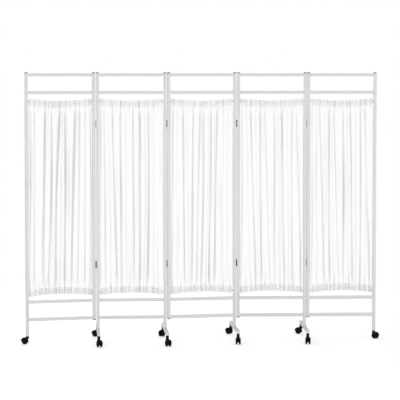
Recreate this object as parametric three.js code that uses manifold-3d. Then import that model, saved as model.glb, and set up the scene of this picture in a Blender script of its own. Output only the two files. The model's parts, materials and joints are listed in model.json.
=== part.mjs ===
// Folding ward privacy screen: five tube frames on casters, hinged edge to edge.
// Each frame holds a gathered curtain on two stretched cords.
// Millimetres. +X runs along the screen, -Y is its front, +Z is up, and the floor is at zero height.

import * as THREE from 'three';
import { mergeVertices } from 'three/addons/utils/BufferGeometryUtils.js';
import Module from 'manifold-3d';

const wasm = await Module();
wasm.setup();

// Clearances
const touch_gap = 0.3;
const cut_overrun = 2;

// Square steel tube, used for posts, rails and feet
const tube_size = 19;
const tube_wall = 1;
const tube_corner = 2;
const tube_corner_steps = 1;

// Panels
const panel_count = 5;
const panel_pitch = 423.5;
const post_gap = 3;
const post_top_height = 1693.5;
const upper_rail_spacing = 110.5;
const bottom_rail_height = 154;
const lower_rail_spacing = 110.5;

// Folding, in degrees. Each fold is counted from straight towards the side that its hinge pins are on.
const first_panel_turn = 6.4;
const rest_folds = [9, 6.5, 8, 0.6];
const pin_sides = [-1, 1, -1, 1];

// How each post ends at the bottom, by panel
const post_ends = [
  { left: 'caster', right: 'cap' },
  { left: 'foot_1', right: 'foot_2' },
  { left: 'cap', right: 'foot_3' },
  { left: 'cap', right: 'foot_4' },
  { left: 'cap', right: 'caster' },
];

// Plastic caps on the posts
const cap_flange = 2.2;
const cap_dome = 4;
const cap_plug_length = 14;

// Feet, which lie across the screen under the posts that need them
const foot_reach = 195;
const foot_overhang = 14;
const foot_spigot_length = 28;
const foot_plug_flange = 2.5;

// Casters
const wheel_radius = 20;
const wheel_width = 11;
const wheel_shoulder = 2.2;
const wheel_dish = 1.6;
const wheel_facets = 12;
const axle_radius = 2;
const web_width = 9.4;
const hub_radius = 8;
const caster_trail = 16;
const hood_wall = 2.4;
const hood_tail = 5;
const hood_front_angle = -28;
const hood_rear_angle = 172;
const hood_steps = 8;
const neck_radius = 8;
const neck_length = 24.3;
const stem_radius = 4;
const stem_length = 14;
const round_facets = 10;

// Where the casters meet the end posts
const end_post_clearance = 8.3;
const socket_length = 24;

// Where each caster trails at rest, in degrees from +X.
// A foot's turn is how far it is from square to its panel, and it can be reset on its round spigot.
const end_trails = { left: 176, right: -61 };
const feet = {
  foot_1: { turn: 1.3, front: -77, back: 140 },
  foot_2: { turn: 1.9, front: -76, back: -122 },
  foot_3: { turn: -4.3, front: -96, back: 130 },
  foot_4: { turn: 0.9, front: -96, back: 155 },
};

// Butt hinges, a pair at each joint
const hinge_below_top_rail = 307;
const hinge_above_bottom_rail = 337;
const hinge_length = 42;
const knuckle_count = 3;
const knuckle_wall = 1.2;
const knuckle_facets = 8;
const leaf_thickness = 1.2;
const leaf_depth = 15;
const hinge_pin_radius = 1.5;
const pin_head_radius = 2.4;
const pin_head_height = 1.6;

// Curtains
const curtain_top_space = 27.2;
const curtain_bottom_space = 19.2;
const curtain_top_sag = 14.1;
const curtain_bottom_rise = 15.4;
const curtain_edge_gap = 1.2;
const hem_height = 39;
const cloth_thickness = 0.9;
const fold_depth = 13;
const hem_fold_depth = 4.5;
const fold_count = 9;
const steps_per_fold = 4;
const fold_drift_share = 0.0225;
const fold_drift_waves = 2;
const fold_lean_share = 0.16;
const fold_lean_waves = 3;
const fold_swell_share = 0.5;
const fold_swell_waves = 2.5;
const fold_settle_share = 0.1;
const cord_radius = 1.6;
const cord_facets = 6;

// Sizes that follow
const half_tube = tube_size / 2;
const bore_size = tube_size - 2 * tube_wall;
const plug_size = bore_size - 2 * touch_gap;
const half_pitch = panel_pitch / 2;
const half_joint = half_tube + post_gap / 2;
const gap_middle = half_pitch + half_joint;
const top_rail_height = post_top_height - half_tube;
const second_rail_height = top_rail_height - upper_rail_spacing;
const third_rail_height = bottom_rail_height + lower_rail_spacing;
const rail_heights = [top_rail_height, second_rail_height, third_rail_height, bottom_rail_height];
const short_post_height = bottom_rail_height - half_tube;
const bore_span = [-bore_size / 2, bore_size / 2];
const axle_height = wheel_radius * Math.cos(Math.PI / wheel_facets);
const hood_radius = wheel_radius + touch_gap + hood_wall;
const neck_top_height = axle_height + hood_radius + neck_length;
const end_post_height = axle_height + hood_radius + end_post_clearance;
const foot_bottom_height = neck_top_height + touch_gap;
const foot_top_height = foot_bottom_height + tube_size;
const foot_post_height = foot_top_height + touch_gap;
const stem_hole_radius = stem_radius + touch_gap;
const knuckle_bore_radius = hinge_pin_radius + touch_gap;
const knuckle_radius = knuckle_bore_radius + knuckle_wall;
const pin_offset = half_tube + knuckle_radius + touch_gap;
const hinge_heights = [top_rail_height - hinge_below_top_rail, bottom_rail_height + hinge_above_bottom_rail];
const curtain_half_width = half_pitch - half_tube - curtain_edge_gap;
const curtain_top_height = second_rail_height - half_tube - curtain_top_space;
const curtain_bottom_height = third_rail_height + half_tube + curtain_bottom_space;
const hem_thickness = 2 * cord_radius + cloth_thickness;
const cord_hole_radius = cord_radius + touch_gap;
const cord_heights = [curtain_top_height - hem_height / 2, curtain_bottom_height + hem_height / 2];

const frame_paint = new THREE.MeshStandardMaterial({ color: 0xd8d8d8, roughness: 0.45, metalness: 0.1 });
const cap_plastic = new THREE.MeshStandardMaterial({ color: 0x59595b, roughness: 0.6, metalness: 0 });
const caster_plastic = new THREE.MeshStandardMaterial({ color: 0x19191a, roughness: 0.5, metalness: 0 });
const tyre_rubber = new THREE.MeshStandardMaterial({ color: 0x222223, roughness: 0.75, metalness: 0 });
const pin_steel = new THREE.MeshStandardMaterial({ color: 0x5d5d61, roughness: 0.35, metalness: 0.9 });
const curtain_cloth = new THREE.MeshStandardMaterial({ color: 0xf6f6f4, roughness: 0.95, metalness: 0 });

// Solids

function solidOf(geometry) {
  const bare = geometry.index ? geometry.toNonIndexed() : geometry.clone();
  bare.deleteAttribute('normal');
  bare.deleteAttribute('uv');
  const merged = mergeVertices(bare);
  return new wasm.Manifold(new wasm.Mesh({
    numProp: 3,
    vertProperties: new Float32Array(merged.attributes.position.array),
    triVerts: new Uint32Array(merged.index.array),
  }));
}

function geometryOf(solid) {
  const mesh = solid.getMesh();
  const geometry = new THREE.BufferGeometry();
  geometry.setAttribute('position', new THREE.BufferAttribute(new Float32Array(mesh.vertProperties), 3));
  geometry.setIndex(new THREE.BufferAttribute(new Uint32Array(mesh.triVerts), 1));
  geometry.computeVertexNormals();
  return geometry;
}

function joined(solids) {
  return solids.reduce((whole, next) => whole.add(next));
}

function cut(solid, cutters) {
  return cutters.reduce((rest, next) => rest.subtract(next), solid);
}

function roundedSquare(size, corner) {
  const half = size / 2;
  const inner = half - corner;
  const shape = new THREE.Shape();
  shape.moveTo(inner, -half);
  shape.absarc(inner, -inner, corner, -Math.PI / 2, 0, false);
  shape.absarc(inner, inner, corner, 0, Math.PI / 2, false);
  shape.absarc(-inner, inner, corner, Math.PI / 2, Math.PI, false);
  shape.absarc(-inner, -inner, corner, Math.PI, 1.5 * Math.PI, false);
  return shape;
}

// The outside of a tube, as a bar that starts on the floor and rises along Z.
function tubeBar(length) {
  return new THREE.ExtrudeGeometry(roundedSquare(tube_size, tube_corner), {
    depth: length,
    bevelEnabled: false,
    curveSegments: tube_corner_steps,
  });
}

// An upright block, square in plan.
function squareBlock(size, x, low, high) {
  return block([x - size / 2, x + size / 2], [-size / 2, size / 2], [low, high]);
}

function uprightRod(radius, facets, x, y, low, high) {
  const rod = new THREE.CylinderGeometry(radius, radius, high - low, facets);
  return solidOf(rod.rotateX(Math.PI / 2).translate(x, y, (low + high) / 2));
}

function crossRod(radius, facets, from, to, height) {
  const rod = new THREE.CylinderGeometry(radius, radius, to - from, facets);
  return solidOf(rod.rotateZ(Math.PI / 2).translate((from + to) / 2, 0, height));
}

function block(x, y, z) {
  const box = new THREE.BoxGeometry(x[1] - x[0], y[1] - y[0], z[1] - z[0]);
  return solidOf(box.translate((x[0] + x[1]) / 2, (y[0] + y[1]) / 2, (z[0] + z[1]) / 2));
}

// Curtain, worked out in its panel: x along the panel, z up

// How far the curtain hangs away from a line between its ends: 0 at the ends and 1 in the middle.
function bow(x) {
  return 1 - (x / curtain_half_width) ** 2;
}

function curtainTop(x) {
  return curtain_top_height - curtain_top_sag * bow(x);
}

function curtainBottom(x) {
  return curtain_bottom_height + curtain_bottom_rise * bow(x);
}

// A fold is a wave along the width. Its crests drift sideways and lean, differently in each panel.
function foldPlace(across, down, panel) {
  const turns = 2 * Math.PI;
  const phase = panel / panel_count;
  const drift = fold_drift_share * Math.sin(turns * (fold_drift_waves * across + phase));
  const lean = fold_lean_share * Math.sin(turns * (fold_lean_waves * across - phase)) * (down - 1 / 2);
  const wave = Math.sin(turns * (fold_count * (across + drift) + lean));
  const swell = 1 - fold_swell_share * Math.abs(Math.sin(turns * (fold_swell_waves * across + phase)));
  const settle = Math.min(across, 1 - across, fold_settle_share) / fold_settle_share;
  return wave * swell * settle;
}

// Rows of the cloth from top to bottom: how far down, how thick, and how deep its folds are.
function curtainRows(x) {
  const top = curtainTop(x);
  const bottom = curtainBottom(x);
  return [
    { z: top, thick: cloth_thickness, deep: hem_fold_depth },
    { z: top - hem_height / 2, thick: hem_thickness, deep: hem_fold_depth },
    { z: top - hem_height, thick: cloth_thickness, deep: hem_fold_depth },
    { z: (top + bottom) / 2, thick: cloth_thickness, deep: fold_depth },
    { z: bottom + hem_height, thick: cloth_thickness, deep: hem_fold_depth },
    { z: bottom + hem_height / 2, thick: hem_thickness, deep: hem_fold_depth },
    { z: bottom, thick: cloth_thickness, deep: hem_fold_depth },
  ];
}

// A closed sheet: a front grid, a back grid and the band that joins their edges.
function curtainSheet(panel) {
  const columns = fold_count * steps_per_fold;
  const row_count = curtainRows(0).length;
  const positions = [];
  for (const side of [-1, 1]) {
    for (let column = 0; column <= columns; column++) {
      const across = column / columns;
      const x = curtain_half_width * (2 * across - 1);
      curtainRows(x).forEach((row, index) => {
        const y = row.deep * foldPlace(across, index / (row_count - 1), panel) + side * row.thick / 2;
        positions.push(x, y, row.z);
      });
    }
  }
  const layer = (columns + 1) * row_count;
  const at = (side, column, row) => side * layer + column * row_count + row;
  const faces = [];
  const quad = (a, b, c, d) => faces.push(a, b, c, a, c, d);
  for (let column = 0; column < columns; column++) {
    for (let row = 0; row < row_count - 1; row++) {
      quad(at(0, column, row), at(0, column, row + 1), at(0, column + 1, row + 1), at(0, column + 1, row));
      quad(at(1, column, row), at(1, column + 1, row), at(1, column + 1, row + 1), at(1, column, row + 1));
    }
    quad(at(0, column, 0), at(0, column + 1, 0), at(1, column + 1, 0), at(1, column, 0));
    const last = row_count - 1;
    quad(at(0, column, last), at(1, column, last), at(1, column + 1, last), at(0, column + 1, last));
  }
  for (let row = 0; row < row_count - 1; row++) {
    quad(at(0, 0, row), at(1, 0, row), at(1, 0, row + 1), at(0, 0, row + 1));
    quad(at(0, columns, row), at(0, columns, row + 1), at(1, columns, row + 1), at(1, columns, row));
  }
  const sheet = new THREE.BufferGeometry();
  sheet.setAttribute('position', new THREE.BufferAttribute(new Float32Array(positions), 3));
  sheet.setIndex(faces);
  return solidOf(sheet);
}

// Each hem holds a stretched cord, whose ends come out at the sides and rest in holes in the posts.
function makeCurtain(panel) {
  const solids = [curtainSheet(panel)];
  const inside = curtain_half_width - hem_thickness;
  const outside = half_pitch;
  for (const height of cord_heights) {
    solids.push(crossRod(cord_radius, cord_facets, -outside, -inside, height));
    solids.push(crossRod(cord_radius, cord_facets, inside, outside, height));
  }
  return geometryOf(joined(solids));
}

// Butt hinges. A leaf lies on the post's side, and its knuckles stand just off the corner of the post.

function knuckleSpan(index) {
  const pitch = hinge_length / knuckle_count;
  const low = index * pitch - hinge_length / 2;
  return [low + touch_gap / 2, low + pitch - touch_gap / 2];
}

// x is the middle of the gap between the posts, and away points from there to this leaf's post.
function hingeLeaf(x, away, pin_side, height, first_knuckle) {
  const near = x + away * (post_gap / 2 - leaf_thickness);
  const far = x + away * (post_gap / 2 + tube_wall / 2);
  const spanX = [Math.min(near, far), Math.max(near, far)];
  const edge = pin_side * half_tube;
  const back = edge - pin_side * leaf_depth;
  const pin_y = pin_side * pin_offset;
  const plate = [Math.min(edge, back), Math.max(edge, back)];
  const solids = [block(spanX, plate, [height - hinge_length / 2, height + hinge_length / 2])];
  const tabX = [Math.min(near, near + away * leaf_thickness), Math.max(near, near + away * leaf_thickness)];
  for (let index = first_knuckle; index < knuckle_count; index += 2) {
    const [low, high] = knuckleSpan(index).map((z) => z + height);
    solids.push(uprightRod(knuckle_radius, knuckle_facets, x, pin_y, low, high));
    const reach = edge - pin_side * leaf_thickness;
    solids.push(block(tabX, [Math.min(reach, pin_y), Math.max(reach, pin_y)], [low, high]));
  }
  const bore_low = height - hinge_length / 2 - cut_overrun;
  const bore_high = height + hinge_length / 2 + cut_overrun;
  const bore = uprightRod(knuckle_bore_radius, knuckle_facets, x, pin_y, bore_low, bore_high);
  return joined(solids).subtract(bore);
}

function makeHingePin() {
  const half = hinge_length / 2;
  const seat = half + touch_gap / 2;
  const profile = [
    new THREE.Vector2(0, -half),
    new THREE.Vector2(hinge_pin_radius, -half),
    new THREE.Vector2(hinge_pin_radius, seat),
    new THREE.Vector2(pin_head_radius, seat),
    new THREE.Vector2(pin_head_radius - pin_head_height / 2, seat + pin_head_height),
    new THREE.Vector2(0, seat + pin_head_height),
  ];
  return new THREE.LatheGeometry(profile, knuckle_facets).rotateX(Math.PI / 2);
}

// Frames

function postFoot(kind) {
  if (kind === 'caster') return end_post_height;
  if (kind in feet) return foot_post_height;
  return short_post_height;
}

// A threaded socket fills the bottom of an end post and takes the stem of its caster.
function stemSocket(x) {
  const low = neck_top_height + touch_gap;
  const high = low + socket_length;
  const plug = squareBlock(bore_size + tube_wall, x, low, high);
  const hole_span = [low - cut_overrun, high + cut_overrun];
  return plug.subtract(uprightRod(stem_hole_radius, round_facets, x, 0, ...hole_span));
}

function makeFrame(panel) {
  const kinds = post_ends[panel];
  const posts = [
    { x: -half_pitch, kind: kinds.left, inward: 1 },
    { x: half_pitch, kind: kinds.right, inward: -1 },
  ];
  const walls = [];
  const bores = [];
  for (const post of posts) {
    const low = postFoot(post.kind);
    walls.push(solidOf(tubeBar(post_top_height - low).translate(post.x, 0, low)));
    bores.push(squareBlock(bore_size, post.x, low - cut_overrun, post_top_height + cut_overrun));
    for (const height of cord_heights) {
      const ends = [post.x, post.x + post.inward * (half_tube + cut_overrun)];
      bores.push(crossRod(cord_hole_radius, cord_facets, Math.min(...ends), Math.max(...ends), height));
    }
  }
  for (const height of rail_heights) {
    walls.push(solidOf(tubeBar(panel_pitch).rotateY(Math.PI / 2).translate(-half_pitch, 0, height)));
    bores.push(block([-half_pitch, half_pitch], bore_span, [height - bore_size / 2, height + bore_size / 2]));
  }
  let frame = cut(joined(walls), bores);
  for (const post of posts) {
    if (post.kind === 'caster') frame = frame.add(stemSocket(post.x));
  }
  for (const height of hinge_heights) {
    if (panel > 0) frame = frame.add(hingeLeaf(-gap_middle, 1, pin_sides[panel - 1], height, 1));
    if (panel < panel_count - 1) frame = frame.add(hingeLeaf(gap_middle, -1, pin_sides[panel], height, 0));
  }
  return geometryOf(frame);
}

// A post cap: a plug in the tube and a domed flange over its end. Its seat is at zero height.
function makeCap() {
  const top = roundedSquare(tube_size - 2 * cap_dome, tube_corner);
  const dome = new THREE.ExtrudeGeometry(top, {
    depth: cap_flange,
    bevelEnabled: true,
    bevelThickness: cap_dome,
    bevelSize: cap_dome,
    bevelSegments: 1,
    curveSegments: tube_corner_steps,
  });
  const flange = solidOf(dome).intersect(solidOf(tubeBar(cap_flange + cap_dome)));
  return geometryOf(flange.add(squareBlock(plug_size, 0, -cap_plug_length, cap_flange)));
}

// A foot: a tube with closed ends, a round spigot for its post and a hole for the stem of each caster.
function makeFoot() {
  const half = foot_reach + foot_overhang;
  const middle = foot_bottom_height + half_tube;
  const tube = solidOf(tubeBar(2 * half).rotateX(-Math.PI / 2).translate(0, -half, middle));
  const inside = half - foot_plug_flange;
  const bore = block(bore_span, [-inside, inside], [middle - bore_size / 2, middle + bore_size / 2]);
  const holes = [-foot_reach, foot_reach].map((y) =>
    uprightRod(stem_hole_radius, round_facets, 0, y, foot_bottom_height - cut_overrun, middle));
  const spigot_span = [foot_top_height - tube_wall, foot_top_height + foot_spigot_length];
  const spigot = uprightRod(plug_size / 2, round_facets, 0, 0, ...spigot_span);
  return geometryOf(cut(tube, [bore, ...holes]).add(spigot));
}

// Twin-wheel casters. The stem stands at x = 0 and the wheels trail behind it, towards -x.

// Side outline of the hood: an arc over the wheels that runs out in a tail, closed round the axle.
function hoodOutline() {
  const points = [];
  for (let step = 0; step <= hood_steps; step++) {
    const share = step / hood_steps;
    const angle = THREE.MathUtils.degToRad(hood_front_angle + (hood_rear_angle - hood_front_angle) * share);
    const reach = hood_radius + hood_tail * share ** 4;
    const along = -caster_trail + reach * Math.cos(angle);
    points.push(new THREE.Vector2(along, axle_height + reach * Math.sin(angle)));
  }
  points.push(new THREE.Vector2(-caster_trail - hub_radius, axle_height - hub_radius / 2));
  points.push(new THREE.Vector2(-caster_trail, axle_height - hub_radius));
  return new THREE.Shape(points);
}

function acrossRod(radius, facets, x, from, to, height, turn) {
  const rod = new THREE.CylinderGeometry(radius, radius, to - from, facets);
  return solidOf(rod.rotateY(turn).translate(x, (from + to) / 2, height));
}

function makeHousing() {
  const width = web_width + 2 * wheel_width + 4 * touch_gap;
  const hood = new THREE.ExtrudeGeometry(hoodOutline(), { depth: width, bevelEnabled: false });
  const shell = solidOf(hood.rotateX(Math.PI / 2).translate(0, width / 2, 0));
  const neck = uprightRod(neck_radius, round_facets, 0, 0, axle_height, neck_top_height);
  const stem_low = neck_top_height - cut_overrun;
  const stem = uprightRod(stem_radius, round_facets, 0, 0, stem_low, neck_top_height + stem_length);
  const room = wheel_radius + touch_gap;
  const web = web_width / 2;
  const half = width / 2 + cut_overrun;
  const turn = Math.PI / wheel_facets;
  const pockets = [
    acrossRod(room, wheel_facets, -caster_trail, web, half, axle_height, turn),
    acrossRod(room, wheel_facets, -caster_trail, -half, -web, axle_height, turn),
    acrossRod(axle_radius + touch_gap, wheel_facets, -caster_trail, -half, half, axle_height, turn),
  ];
  return geometryOf(cut(shell.add(neck), pockets).add(stem));
}

// Both wheels and their axle, turned about the axle, which lies along Y through the origin.
function makeWheels() {
  const inner = web_width / 2 + touch_gap;
  const outer = inner + wheel_width;
  const half = [
    [0, outer - wheel_dish],
    [wheel_radius - 2 * wheel_shoulder, outer - wheel_dish],
    [wheel_radius - wheel_shoulder, outer],
    [wheel_radius, outer - wheel_shoulder],
    [wheel_radius, inner + wheel_shoulder],
    [wheel_radius - wheel_shoulder, inner],
    [axle_radius, inner],
  ];
  const mirrored = half.map(([r, y]) => [r, -y]);
  const profile = [...mirrored, ...half.reverse()].map(([r, y]) => new THREE.Vector2(r, y));
  return new THREE.LatheGeometry(profile, wheel_facets, Math.PI / wheel_facets);
}

// Assembly

const screen = new THREE.Group();
screen.name = 'ward_privacy_screen';

function addMesh(parent, name, geometry, material) {
  const mesh = new THREE.Mesh(geometry, material);
  mesh.name = name;
  parent.add(mesh);
  return mesh;
}

const cap_shape = makeCap();
const foot_shape = makeFoot();
const housing_shape = makeHousing();
const wheels_shape = makeWheels();
const pin_shape = makeHingePin();

// A caster at a place in its parent, turned so that its wheels trail towards the heading.
function addCaster(parent, name, x, y, heading, parent_turn) {
  const caster = new THREE.Group();
  caster.position.set(x, y, 0);
  caster.rotation.z = THREE.MathUtils.degToRad(heading - 180) - parent_turn;
  addMesh(caster, `${name}_housing`, housing_shape, caster_plastic);
  const wheels = addMesh(caster, `${name}_wheels`, wheels_shape, tyre_rubber);
  wheels.position.set(-caster_trail, 0, axle_height);
  parent.add(caster);
}

// What closes or carries each post of a panel
function addPostEnds(parent, panel, panel_turn) {
  for (const [side, x] of [['left', -half_pitch], ['right', half_pitch]]) {
    const top = addMesh(parent, `panel_${panel + 1}_top_cap_${side}`, cap_shape, cap_plastic);
    top.position.set(x, 0, post_top_height + touch_gap);
    const end = post_ends[panel][side];
    if (end === 'caster') {
      addCaster(parent, `${side}_end_caster`, x, 0, end_trails[side], panel_turn);
    } else if (end in feet) {
      addFoot(parent, end, x, panel_turn);
    } else {
      const bottom = addMesh(parent, `panel_${panel + 1}_bottom_cap_${side}`, cap_shape, cap_plastic);
      bottom.position.set(x, 0, short_post_height - touch_gap);
      bottom.rotation.x = Math.PI;
    }
  }
}

// A foot with its two casters, turned a little about the post that it carries
function addFoot(parent, name, x, panel_turn) {
  const foot = new THREE.Group();
  const turn = THREE.MathUtils.degToRad(feet[name].turn);
  foot.position.set(x, 0, 0);
  foot.rotation.z = turn;
  addMesh(foot, name, foot_shape, frame_paint);
  addCaster(foot, `${name}_front_caster`, 0, -foot_reach, feet[name].front, panel_turn + turn);
  addCaster(foot, `${name}_back_caster`, 0, foot_reach, feet[name].back, panel_turn + turn);
  parent.add(foot);
}

function addHingePins(parent, panel) {
  hinge_heights.forEach((height, index) => {
    const place = index === 0 ? 'upper' : 'lower';
    const pin = addMesh(parent, `hinge_${panel + 1}_${place}_pin`, pin_shape, pin_steel);
    pin.position.set(gap_middle, pin_sides[panel] * pin_offset, height);
  });
}

// Each panel turns about the pins that join it to the one before.
let turn = THREE.MathUtils.degToRad(first_panel_turn);
let joint = new THREE.Vector2(0, 0);
for (let panel = 0; panel < panel_count; panel++) {
  const along = new THREE.Vector2(Math.cos(turn), Math.sin(turn));
  const across = new THREE.Vector2(-Math.sin(turn), Math.cos(turn));
  const before = panel > 0 ? pin_sides[panel - 1] * pin_offset : 0;
  const middle = joint.clone().addScaledVector(along, gap_middle).addScaledVector(across, -before);
  const group = new THREE.Group();
  group.position.set(middle.x, middle.y, 0);
  group.rotation.z = turn;
  addMesh(group, `panel_${panel + 1}_frame`, makeFrame(panel), frame_paint);
  addMesh(group, `panel_${panel + 1}_curtain`, makeCurtain(panel), curtain_cloth);
  addPostEnds(group, panel, turn);
  screen.add(group);
  if (panel < panel_count - 1) {
    addHingePins(group, panel);
    const after = pin_sides[panel] * pin_offset;
    joint = middle.clone().addScaledVector(along, gap_middle).addScaledVector(across, after);
    turn += THREE.MathUtils.degToRad(pin_sides[panel] * rest_folds[panel]);
  }
}

// The origin is on the floor below the middle of the whole screen.
screen.updateMatrixWorld(true);
const middle_of_all = new THREE.Box3().setFromObject(screen).getCenter(new THREE.Vector3());
screen.position.set(-middle_of_all.x, -middle_of_all.y, 0);

export default screen;
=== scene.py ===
"""Finishes a folding ward privacy screen round its CAD model: tubes, hinges, caps, feet, casters and curtains."""

import json
import math

import bpy
import numpy as np
from bpy.props import FloatProperty, FloatVectorProperty, IntProperty, PointerProperty
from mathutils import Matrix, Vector


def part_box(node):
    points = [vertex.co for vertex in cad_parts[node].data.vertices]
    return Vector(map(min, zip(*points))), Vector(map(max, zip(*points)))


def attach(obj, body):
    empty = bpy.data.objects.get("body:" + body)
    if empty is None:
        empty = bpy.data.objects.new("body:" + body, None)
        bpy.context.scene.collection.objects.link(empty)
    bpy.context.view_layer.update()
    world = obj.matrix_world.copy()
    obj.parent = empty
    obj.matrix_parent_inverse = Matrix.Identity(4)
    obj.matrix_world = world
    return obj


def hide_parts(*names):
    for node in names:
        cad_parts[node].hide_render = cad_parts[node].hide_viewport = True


bl_info = {
    "name": "Ward Privacy Screen",
    "version": (1, 0, 0),
    "blender": (4, 5, 0),
    "location": "3D View > Sidebar > Ward Screen",
    "description": "Builds the finished pieces of a folding ward privacy screen on its CAD frame",
    "category": "Object",
}

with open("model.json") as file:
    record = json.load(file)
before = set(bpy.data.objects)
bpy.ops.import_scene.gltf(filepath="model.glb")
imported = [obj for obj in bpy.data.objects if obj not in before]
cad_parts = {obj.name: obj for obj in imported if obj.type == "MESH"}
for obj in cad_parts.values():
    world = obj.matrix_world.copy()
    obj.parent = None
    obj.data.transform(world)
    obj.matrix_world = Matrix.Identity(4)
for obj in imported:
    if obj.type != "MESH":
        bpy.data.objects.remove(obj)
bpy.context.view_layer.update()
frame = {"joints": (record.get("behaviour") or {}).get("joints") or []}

PANELS = (1, 2, 3, 4, 5)
JOINTS = {j["name"]: j for j in frame["joints"]}
CASTERS = sorted(name[: -len("_swivel")] for name in JOINTS if name.endswith("_swivel"))
FEET = {1: 2, 2: 2, 3: 3, 4: 4}  # foot: the panel that it is under
POST_ENDS = {  # panel: what its left and its right post stand on
    1: ("caster", "cap"),
    2: ("foot", "foot"),
    3: ("cap", "foot"),
    4: ("cap", "foot"),
    5: ("cap", "caster"),
}
PIN_SIDES = {1: -1, 2: 1, 3: -1, 4: 1}  # joint: the side of the panels that its hinge pins stand on
RAIL_HEIGHTS = (1.684, 1.5735, 0.2645, 0.154)  # of the rails' middle lines, from the top down

# The creases of each curtain: their places near the top, in the middle and near the bottom, in thousandths of the
# curtain's width, and their depths, in hundredths of the deepest that a crease can be.
CREASES = {
    1: [(40, 29, 15, 54), (97, 98, 75, 41), (266, 245, 229, 75), (369, 358, 308, 69), (488, 438, 425, 82),
        (540, 515, 489, 27), (585, 580, 563, 82), (732, 695, 671, 72), (806, 794, 768, 54), (894, 889, 880, 45),
        (975, 978, 974, 63)],
    2: [(20, 18, 14, 51), (78, 85, 89, 43), (143, 166, 172, 22), (207, 238, 273, 62), (331, 335, 348, 70),
        (408, 420, 427, 25), (526, 533, 542, 58), (626, 639, 626, 70), (710, 712, 694, 23), (770, 773, 748, 70),
        (859, 850, 840, 22)],
    3: [(40, 30, 18, 47), (105, 112, 111, 20), (200, 217, 227, 58), (278, 290, 296, 23), (367, 351, 338, 61),
        (473, 443, 422, 50), (535, 522, 490, 61), (612, 597, 578, 17), (652, 635, 619, 61), (746, 725, 703, 61),
        (852, 840, 820, 22), (920, 912, 908, 25)],
    4: [(36, 35, 18, 43), (95, 125, 160, 20), (165, 210, 250, 52), (240, 272, 302, 18), (315, 323, 340, 58),
        (394, 433, 480, 36), (545, 546, 555, 54), (600, 614, 638, 22), (655, 682, 705, 54), (745, 768, 762, 24),
        (820, 822, 826, 50), (895, 936, 966, 43)],
    5: [(30, 38, 24, 35), (95, 110, 110, 20), (155, 198, 226, 52), (300, 306, 318, 59), (338, 358, 365, 18),
        (378, 416, 467, 39), (525, 532, 540, 56), (582, 596, 622, 22), (635, 665, 680, 59), (730, 728, 735, 26),
        (800, 805, 806, 52), (870, 910, 950, 42)],
}
CREASE_LEVELS = (0.09, 0.5, 0.94)  # how far down the curtain those three places are, as shares of its height
BARE_ENDS = ((2, 1), (3, 1), (5, -1))  # (panel, side) where the cloth leaves the end of its top cord bare


# Settings


class TubeSettings(bpy.types.PropertyGroup):
    """Sizes of the welded square tube that the panels and the feet are made of."""

    width: FloatProperty(name="Tube width", description="Outside width of the square tube", default=0.019,
                         min=0.01, unit="LENGTH")
    wall: FloatProperty(name="Tube wall", description="Thickness of the tube's wall", default=0.001,
                        min=0.0005, unit="LENGTH")
    corner: FloatProperty(name="Corner radius", description="Outside radius of the tube's corners", default=0.0022,
                          min=0.0005, unit="LENGTH")
    post_top: FloatProperty(name="Post top", description="Height of the open top of a post", default=1.6935,
                            unit="LENGTH")
    caster_post_low: FloatProperty(name="End post bottom", description="Height of the bottom of an end post",
                                   default=0.05032, unit="LENGTH")
    foot_post_low: FloatProperty(name="Foot post bottom", description="Height of the bottom of a post on a foot",
                                 default=0.08592, unit="LENGTH")
    short_post_low: FloatProperty(name="Short post bottom", description="Height of the bottom of a short post",
                                  default=0.1445, unit="LENGTH")
    weld: FloatProperty(name="Weld bead", description="Radius of the weld bead round a rail's end", default=0.0013,
                        min=0.0002, unit="LENGTH")


class HingeSettings(bpy.types.PropertyGroup):
    """Sizes of the butt hinges between the panels."""

    length: FloatProperty(name="Hinge length", description="Length of a leaf along the post", default=0.042,
                          unit="LENGTH")
    leaf: FloatProperty(name="Leaf thickness", description="Thickness of a leaf", default=0.0012, unit="LENGTH")
    depth: FloatProperty(name="Leaf depth", description="How far a leaf reaches across the post", default=0.015,
                         unit="LENGTH")
    pin: FloatProperty(name="Pin radius", description="Radius of the hinge pin", default=0.0015, unit="LENGTH")


class CasterSettings(bpy.types.PropertyGroup):
    """Sizes of the twin-wheel casters."""

    wheel: FloatProperty(name="Wheel radius", description="Radius of a wheel", default=0.0193, unit="LENGTH")
    wheel_width: FloatProperty(name="Wheel width", description="Width of one wheel", default=0.011, unit="LENGTH")
    web: FloatProperty(name="Web width", description="Width of the web between the wheels", default=0.0094,
                       unit="LENGTH")
    trail: FloatProperty(name="Trail", description="Distance from the stem to the axle", default=0.016,
                         unit="LENGTH")
    hood: FloatProperty(name="Hood radius", description="Radius of the hood over the wheels", default=0.0227,
                        unit="LENGTH")
    neck_top: FloatProperty(name="Neck top", description="Height of the top of the neck", default=0.06632,
                            unit="LENGTH")


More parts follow.
